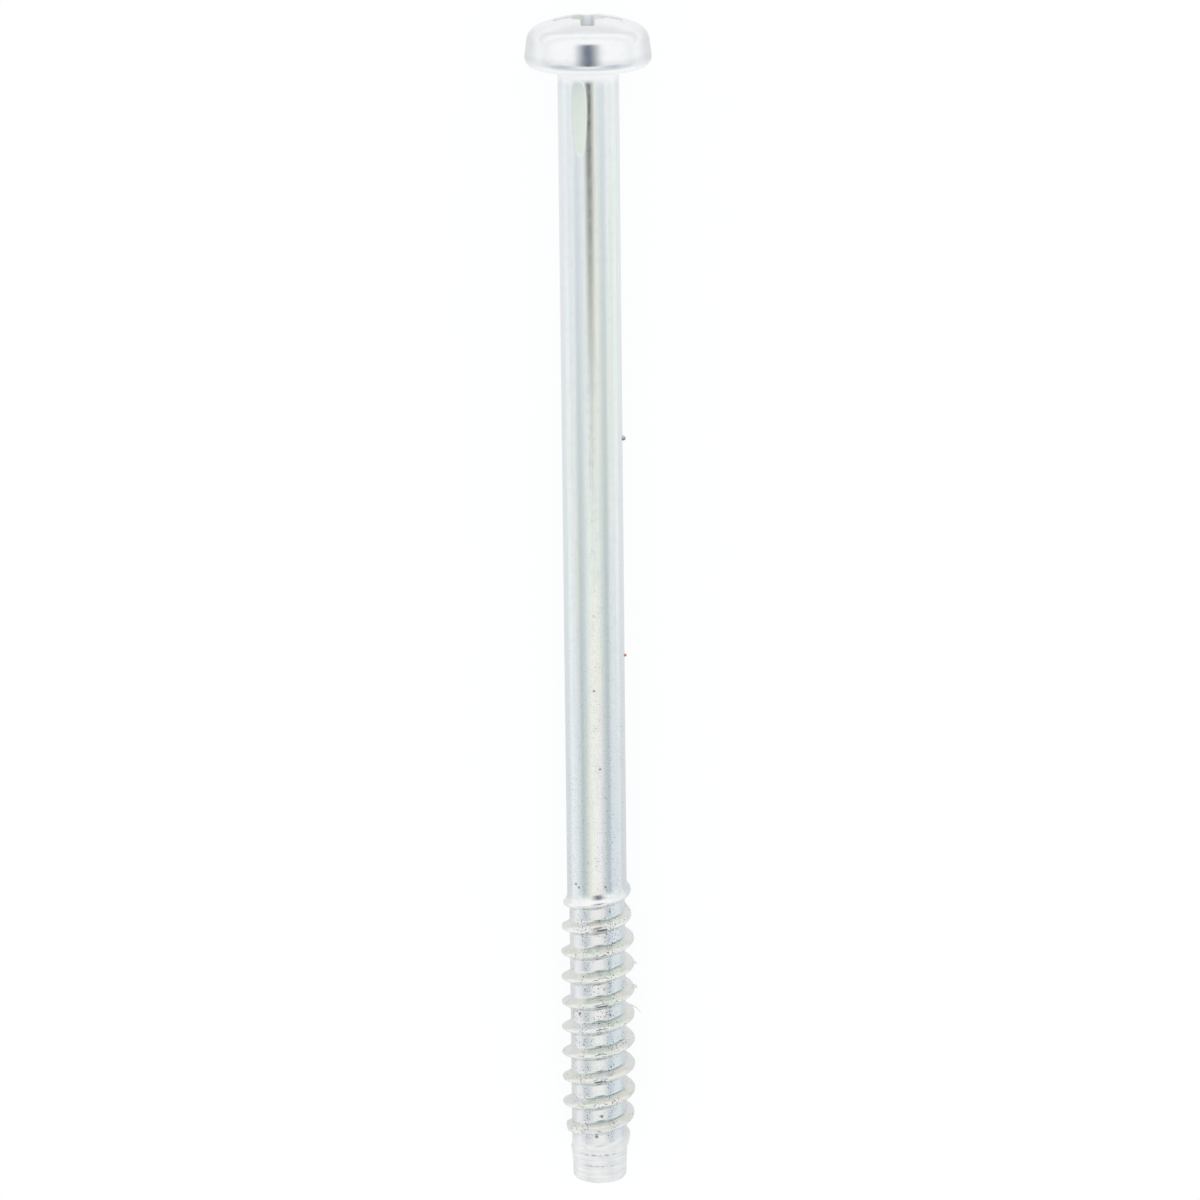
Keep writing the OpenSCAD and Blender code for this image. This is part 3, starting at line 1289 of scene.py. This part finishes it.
    def dark_spots(self, pits: Value) -> Value:
        """All that is painted dark: pits, specks and the dashes on the nicked crests.

        Args:
            pits: 1 in a pit and 0 outside it.

        Returns:
            How dark the point is, from 0 to 1.
        """
        plate = self.plate
        dark = pits * (self.on_thread * 0.3 + 0.55)
        for speck in plate.specks:
            dark = self.larger(dark, self.speck(*speck) * 0.85)
        dashes = self.crest_dashes() * self.on_thread * self.fall(self.depth, *plate.dashes_end)
        return self.larger(dark, dashes)

    def crest_dashes(self) -> Value:
        """Dark dashes where the crests are nicked at the front: 1 in a dash and 0 outside it."""
        ridge = self.math("ROUND", self.along)
        wander = self.math("SINE", ridge * NICK_RATE + NICK_SEED) * NICK_WANDER
        reach = 0.13 + self.math("SINE", ridge * 4.1 + 1.0) * 0.05
        near = self.fall(abs(self.azimuth - wander - 0.06) / reach, 0.8, 1.25)
        strip = self.band(self.past_crest, (-0.04, 0.0), (0.07, 0.11))
        spot = self.vector(self.azimuth * 4.5, ridge * 3.7, self.past_crest * 5.0)
        grain = self.noise(spot, 2.4, 2.0, 0.6)
        strength = 0.5 + self.math("SINE", ridge * 2.1 - 2.6) * 0.12
        dashed = self.step(grain + strength - 0.5, 0.45, 0.52)
        return near * strip * dashed * self.step(self.along, 1.3, 1.5)

    def recess_shade(self, colour: Value) -> tuple[Value, Value]:
        """Paints shade on the recess's side walls over their left part, and a light-blue painted
        reflection high in the middle.

        Args:
            colour: The plate's colour.

        Returns:
            The colour with the recess shaded, and 1 from the recess's brink inwards and 0 outside.
        """
        plate = self.plate
        dome_r = self.dome_mm
        dome_z = self.math("SQRT", dome_r * dome_r - self.radius * self.radius) + (self.head_mm - dome_r)
        within = self.step(self.z, 0.35, 0.45) * self.fall(self.radius, 1.85, 1.95)
        brink = self.step(dome_z - self.z, 0.008, 0.022) * within
        inside = self.step(dome_z - self.z, 0.035, 0.09) * within
        # Painted shade over the walls' left part, and a painted reflection in a narrow strip high in the
        # middle.
        shaded_walls = self.band(self.x, (-0.85, -0.7), (0.26, 0.34))
        painted_glint = self.fall(abs(self.x + 0.02), 0.12, 0.2) * self.step(self.z, 1.8, 1.95)
        shade = self.mix(shaded_walls, plate.head_cool, plate.walls_shade_grey)
        shade = self.mix(painted_glint, shade, plate.recess_reflection_blue)
        return self.mix(inside * 0.9, colour, shade), brink

    def scraped_end(self, worn_end: Value, colour: Value) -> tuple[Value, Value]:
        """Scrapes the blunt end bare, with scratches and two torn rings.

        Args:
            worn_end: 1 on the blunt end and 0 above it.
            colour: The plate's colour.

        Returns:
            The colour, and the height of the scratches.
        """
        plate = self.plate
        scratches = self.noise(self.vector(self.azimuth * 0.5, self.depth * 2.6, 0.0), 2.6, 4.0, 0.65)
        scratched = worn_end * self.step(scratches, 0.40, 0.62)
        colour = self.mix(worn_end * 0.85, colour, plate.scraped)
        colour = self.mix(scratched * 0.3, colour, plate.scratch_grey)
        upper, lower = plate.torn_rings
        torn = self.larger(self.bump(self.depth, upper, 0.10), self.bump(self.depth, lower, 0.09) * 0.7)
        ragged = self.noise(self.vector(self.azimuth * 3.0, self.depth * 5.0, 0.0), 2.2)
        torn = torn * self.step(ragged, 0.47, 0.55)
        colour = self.mix(torn * self.bump(self.azimuth, 0.0, 1.2) * 0.6, colour, plate.stain)
        return colour, scratches

    def speck(self, azimuth_deg: float, depth: float, radius: float) -> Value:
        """A small ragged spot.

        Args:
            azimuth_deg: The spot's azimuth, in degrees.
            depth: The spot's depth, in millimetres.
            radius: The spot's radius, in millimetres.

        Returns:
            1 inside the spot and 0 outside it.
        """
        across = (self.azimuth - math.radians(azimuth_deg)) * self.shank_mm
        down = self.depth - depth
        ragged = self.noise(self.vector(across * 11.0, down * 8.0, azimuth_deg), 1.0, 2.0, 0.6)
        distance = self.math("SQRT", across * across + down * down) / radius
        return self.fall(distance + (ragged - 0.5) * 1.6, 0.35, 0.95)


@dataclass
class TappingScrew:
    """The whole screw as one closed mesh, with its burrs beside it."""

    sizes: ScrewSizes = field(default_factory=ScrewSizes)
    finish: ZincPlate = field(default_factory=ZincPlate)
    burrs: tuple[Burr, ...] = (
        Burr(48.0 * MM, math.radians(86), 0.24 * MM, 0.3 * MM, 0.03 * MM, taper=0.25),
        Burr(49.37 * MM, math.radians(91), 0.24 * MM, 0.42 * MM, 0.06 * MM, taper=0.25),
        Burr(50.72 * MM, math.radians(116), 0.8 * MM, 0.26 * MM, 0.7 * MM, root_r=1.84 * MM, taper=0.7),
        Burr(
            19.45 * MM, math.radians(90), 0.24 * MM, 0.26 * MM, 0.02 * MM,
            root_r=1.5 * MM, taper=0.3, thickness=1.3,
        ),
        Burr(
            31.1 * MM, math.radians(89), 0.19 * MM, 0.18 * MM, 0.01 * MM,
            root_r=1.5 * MM, taper=0.3, thickness=1.2,
        ),
    )

    def build(self) -> list[bpy.types.Object]:
        """Builds, lays down and dresses the screw's pieces.

        Returns:
            The pieces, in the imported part's frame.
        """
        material = self.finish.material(self.sizes)
        thread = RolledThread(self.sizes)
        head, shank = PanHead(self.sizes), Shank(self.sizes, thread.start_depth)
        tip = BluntTip(self.sizes, thread.end_depth)
        skins = [
            mesh_of_rings("head_and_shank", head.rings() + shank.rings(), head.pole(), End.FIRST),
            thread.mesh(material),
            mesh_of_rings("tip", tip.rings(), tip.pole(), End.LAST),
        ]
        screw = self.piece("screw", self.joined(skins), material)
        torn = bpy.data.meshes.new("thread_burrs")
        points: list[tuple[float, float, float]] = []
        faces: list[tuple[int, ...]] = []
        for burr in self.burrs:
            more, sides = burr.skin()
            faces += [tuple(i + len(points) for i in side) for side in sides]
            points += more
        torn.from_pydata(points, [], faces)
        return [screw, self.piece("thread_burrs", self.joined([torn]), material)]

    def joined(self, skins: Sequence[bpy.types.Mesh]) -> bmesh.types.BMesh:
        """Welds skins into closed meshes whose faces point outwards.

        Args:
            skins: Meshes whose open ends meet.

        Returns:
            The welded mesh.
        """
        work = bmesh.new()
        for skin in skins:
            work.from_mesh(skin)
            bpy.data.meshes.remove(skin)
        bmesh.ops.remove_doubles(work, verts=work.verts, dist=WELD)
        bmesh.ops.dissolve_degenerate(work, dist=WELD / 10, edges=work.edges)
        bmesh.ops.recalc_face_normals(work, faces=work.faces)
        return work

    def piece(
        self, name: str, work: bmesh.types.BMesh, material: bpy.types.Material
    ) -> bpy.types.Object:
        """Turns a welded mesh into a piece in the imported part's place.

        Args:
            name: The piece's name.
            work: The welded mesh, which is used up.
            material: Its finish.

        Returns:
            The piece.
        """
        work.transform(self.sizes.lying() @ Matrix.Scale(INSET, 4))
        open_edges = sum(1 for edge in work.edges if len(edge.link_faces) != 2)
        for edge in work.edges:
            edge.smooth = edge.calc_face_angle(0.0) < SHARP_ANGLE
        for face in work.faces:
            face.smooth = True
            face.material_index = 0
        if work.calc_volume(signed=True) < 0:
            bmesh.ops.reverse_faces(work, faces=work.faces)
        mesh = bpy.data.meshes.new(name)
        work.to_mesh(mesh)
        work.free()
        mesh.materials.clear()
        mesh.materials.append(material)
        made = linked(name, mesh)
        triangles = sum(len(p.vertices) - 2 for p in mesh.polygons)
        LOG.info("%s: %d triangles, %d open edges", name, triangles, open_edges)
        return made


@dataclass(frozen=True)
class Card:
    """A card beside the camera that only reflections see.

    The place is given round the upright screw: its azimuth, its distance from the axis, and the
    depths and half widths of its two ends. It fades out over shares of its width and its length,
    given for the left, the right, the start and the end.
    """

    name: str
    azimuth: float
    distance: float
    depths: tuple[float, float]
    half_widths: tuple[float, float]
    tone: Colour
    strength: float
    soft: tuple[float, float, float, float]


@dataclass
class Studio:
    """The floor, the white surroundings, the cards and the camera.

    Places on the floor are in metres: x runs from the head to the tip, and y towards the right of
    the front. A span gives where a change starts and where it ends, and a hump its middle and its
    half width.
    """

    sizes: ScrewSizes
    floor_half: float = 2.0
    floor_tone: float = 0.9
    floor_white: float = 0.86
    floor_tint: Colour = (0.985, 0.995, 1.0)
    mirrored_white: float = 0.96
    camera_gain: float = 0.035
    along_screw: Span = (-0.035, 0.035)
    beside_fall: Span = (0.005, 0.014)
    past_head: Span = (-0.0345, -0.0325)
    head_side: Hump = (0.005, 0.022)
    head_side_rise: Span = (0.003, 0.005)
    head_hump: Hump = (-0.0300, 0.0045)
    beyond_hump: Hump = (-0.0378, 0.0046)
    right_rise: Span = (0.002, 0.01)
    right_span: Span = (-0.01, 0.035)
    near_shade: float = 0.06
    tipward_shade: float = 0.16
    right_shade: float = 0.13
    head_shade: float = 0.17
    head_band: float = 0.20
    surroundings: float = 1.0
    horizon_shade: float = 0.10
    horizon_span: Span = (0.0, 0.5)
    camera_rise: float = math.radians(15.3)
    camera_distance: float = 0.3
    measured_depth: float = 30 * MM
    aim_depth: float = 28.1 * MM
    aim_right: float = 0.32 * MM
    roll: float = math.radians(0.6)
    lens: float = 172.4
    sensor: float = 36.0
    clip_span: Span = (0.01, 10.0)
    cards: tuple[Card, ...] = (
        Card(
            "head_card", 0.0, 0.289, (-0.26, 0.04), (0.165, 0.165),
            (0.07, 0.11, 0.17), 0.97, (0.5, 0.5, 0.45, 0.05),
        ),
        Card(
            "streak_card", 0.0, 0.289, (0.03, 0.09), (0.145, 0.125),
            (0.012, 0.016, 0.022), 0.98, (0.5, 0.5, 0.1, 0.55),
        ),
        Card(
            "left_card", math.radians(-40), 0.289, (-0.02, 0.19), (0.175, 0.175),
            (0.49, 0.555, 0.62), 1.0, (0.38, 0.75, 0.77, 0.12),
        ),
        Card(
            "right_card", math.radians(40), 0.289, (-0.02, 0.19), (0.175, 0.175),
            (0.45, 0.515, 0.60), 1.0, (0.75, 0.38, 0.77, 0.12),
        ),
        Card(
            "right_veil", math.radians(78), 0.289, (0.08, 0.25), (0.14, 0.14),
            (0.82, 0.85, 0.87), 1.0, (0.2, 0.05, 0.4, 0.1),
        ),
        Card(
            "end_card", 0.0, 0.289, (0.17, 1.6), (1.2, 2.4),
            (0.48, 0.54, 0.58), 0.5, (0.25, 0.25, 0.1, 0.2),
        ),
    )

    def build(self) -> None:
        """Builds the whole studio."""
        self.floor()
        self.world()
        for card in self.cards:
            self.card(card)
        self.camera()

    def floor(self) -> None:
        """A white floor that keeps a light shadow."""
        half = self.floor_half
        mesh = bpy.data.meshes.new("floor")
        corners = [(-half, -half, 0), (half, -half, 0), (half, half, 0), (-half, half, 0)]
        mesh.from_pydata(corners, [], [(0, 1, 2, 3)])
        material, graph = new_material("white_floor")
        seen = graph.node("ShaderNodeLightPath", None, None, "Is Camera Ray")
        mirrored = seen.other("Is Glossy Ray")
        shown = graph.larger(
            graph.larger(seen, seen.other("Is Transmission Ray")) * self.floor_white,
            mirrored * self.mirrored_white,
        )
        matt = graph.node("ShaderNodeBsdfDiffuse", None, {"Color": (self.floor_tone,) * 3})
        tone = 1.0 - mirrored * self.floor_shade(graph) + seen * self.camera_gain
        white = graph.node("ShaderNodeEmission", None, {"Color": self.floor_tint, "Strength": tone})
        graph.show(graph.node("ShaderNodeMixShader", None, {0: shown, 1: matt, 2: white}))
        mesh.materials.append(material)
        linked("floor", mesh)

    def floor_shade(self, graph: Graph) -> Value:
        """Where the floor that the screw mirrors is darker: beside it and beyond the head.

        Args:
            graph: The floor's tree.

        Returns:
            How much darker it is, from 0 to 1.
        """
        x, y, _ = graph.axes(graph.node("ShaderNodeTexCoord", None, None, "Object"))
        aside = abs(y)
        beside = graph.fall(aside, *self.beside_fall) * graph.step(x, *self.past_head)
        by_head = graph.bump(aside, *self.head_side) * graph.bump(x, *self.head_hump)
        right = graph.step(y, *self.right_rise) * graph.step(x, *self.right_span)
        return (
            beside * (graph.step(x, *self.along_screw) * self.tipward_shade + self.near_shade)
            + by_head * graph.step(aside, *self.head_side_rise) * self.head_shade
            + graph.bump(x, *self.beyond_hump) * self.head_band
            + right * self.right_shade
        )

    def world(self) -> None:
        """Even white surroundings, a little greyer near the horizon in reflections."""
        world = bpy.data.worlds.new("white_room")
        bpy.context.scene.world = world
        world.use_nodes = True
        graph = Graph(world.node_tree)
        mirrored = graph.node("ShaderNodeLightPath", None, None, "Is Glossy Ray")
        rise = graph.axes(graph.node("ShaderNodeTexCoord", None, None, "Generated"))[2]
        low = graph.fall(rise, *self.horizon_span)
        strength = self.surroundings - mirrored * low * self.horizon_shade
        light = graph.node("ShaderNodeBackground", None, {"Color": (1.0, 1.0, 1.0), "Strength": strength})
        graph.show(light, "ShaderNodeOutputWorld")

    def card(self, card: Card) -> None:
        """Builds a card that only reflections see.

        Args:
            card: Its place and tone.
        """
        mesh = self.card_mesh(card)
        mesh.materials.append(self.card_material(card))
        made = linked(card.name, mesh)
        made.visible_camera = False
        made.visible_diffuse = False
        made.visible_shadow = False

    def card_mesh(self, card: Card, across: int = 8, along: int = 24) -> bpy.types.Mesh:
        """Builds a card's grid, with its own map from corner to corner.

        Args:
            card: Its place.
            across: Steps across it.
            along: Steps along it.

        Returns:
            The mesh, beside the lying screw.
        """
        out = Vector((math.sin(card.azimuth), -math.cos(card.azimuth), 0))
        side = Vector((math.cos(card.azimuth), math.sin(card.azimuth), 0))
        points, places = [], []
        for i in range(along + 1):
            v = i / along
            half = card.half_widths[0] + (card.half_widths[1] - card.half_widths[0]) * v
            depth = card.depths[0] + (card.depths[1] - card.depths[0]) * v
            for k in range(across + 1):
                u = k / across
                points.append(out * card.distance + side * (half * (2 * u - 1)) - Vector((0, 0, depth)))
                places.append((u, v))
        row = across + 1
        faces = [
            (i * row + k, i * row + k + 1, (i + 1) * row + k + 1, (i + 1) * row + k)
            for i in range(along)
            for k in range(across)
        ]
        mesh = bpy.data.meshes.new(card.name)
        mesh.from_pydata([tuple(p) for p in points], [], faces)
        layer = mesh.uv_layers.new(name="card")
        for loop in mesh.loops:
            layer.data[loop.index].uv = places[loop.vertex_index]
        mesh.transform(self.sizes.lying())
        return mesh

    def card_material(self, card: Card) -> bpy.types.Material:
        """A glow in the card's tone that fades out at its edges.

        Args:
            card: Its tone and its soft edges.

        Returns:
            The material.
        """
        material, graph = new_material(card.name)
        u, v, _ = graph.axes(graph.node("ShaderNodeUVMap", {"uv_map": "card"}))
        left, right, start, end = card.soft
        shade = (
            graph.step(u, 0.0, left)
            * graph.step(1.0 - u, 0.0, right)
            * graph.step(v, 0.0, start)
            * graph.step(1.0 - v, 0.0, end)
        )
        clear = graph.node("ShaderNodeBsdfTransparent")
        glow = graph.node("ShaderNodeEmission", None, {"Color": card.tone, "Strength": 1.0})
        graph.show(graph.node("ShaderNodeMixShader", None, {0: shade * card.strength, 1: clear, 2: glow}))
        return material

    def camera(self) -> None:
        """The camera at the photograph's angle, in front of the upright screw and above its middle."""
        rise, far = self.camera_rise, self.camera_distance
        shift = Vector((self.aim_right, 0, 0))
        stand = Vector((0, -far * math.cos(rise), far * math.sin(rise) - self.measured_depth)) + shift
        forward = (Vector((0, 0, -self.aim_depth)) + shift - stand).normalized()
        right = forward.cross(Vector((0, 0, 1))).normalized()
        up = right.cross(forward)
        up = up * math.cos(self.roll) + right * math.sin(self.roll)
        right = forward.cross(up)
        turned = Matrix((right, up, -forward)).transposed().to_4x4()
        data = bpy.data.cameras.new("camera")
        data.lens, data.sensor_width = self.lens, self.sensor
        data.clip_start, data.clip_end = self.clip_span
        made = linked("camera", data)
        made.matrix_world = self.sizes.lying() @ Matrix.Translation(stand) @ turned
        bpy.context.scene.camera = made
        bpy.context.scene.view_settings.view_transform = "Standard"


def main() -> None:
    """Builds the screw and its studio."""
    logging.basicConfig(level=logging.INFO, format="%(name)s: %(message)s")
    screw = TappingScrew()
    pieces = screw.build()
    for piece in pieces:
        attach(piece, BODY)
    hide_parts(NODE)
    Studio(screw.sizes).build()


if __name__ == "__main__":
    main()
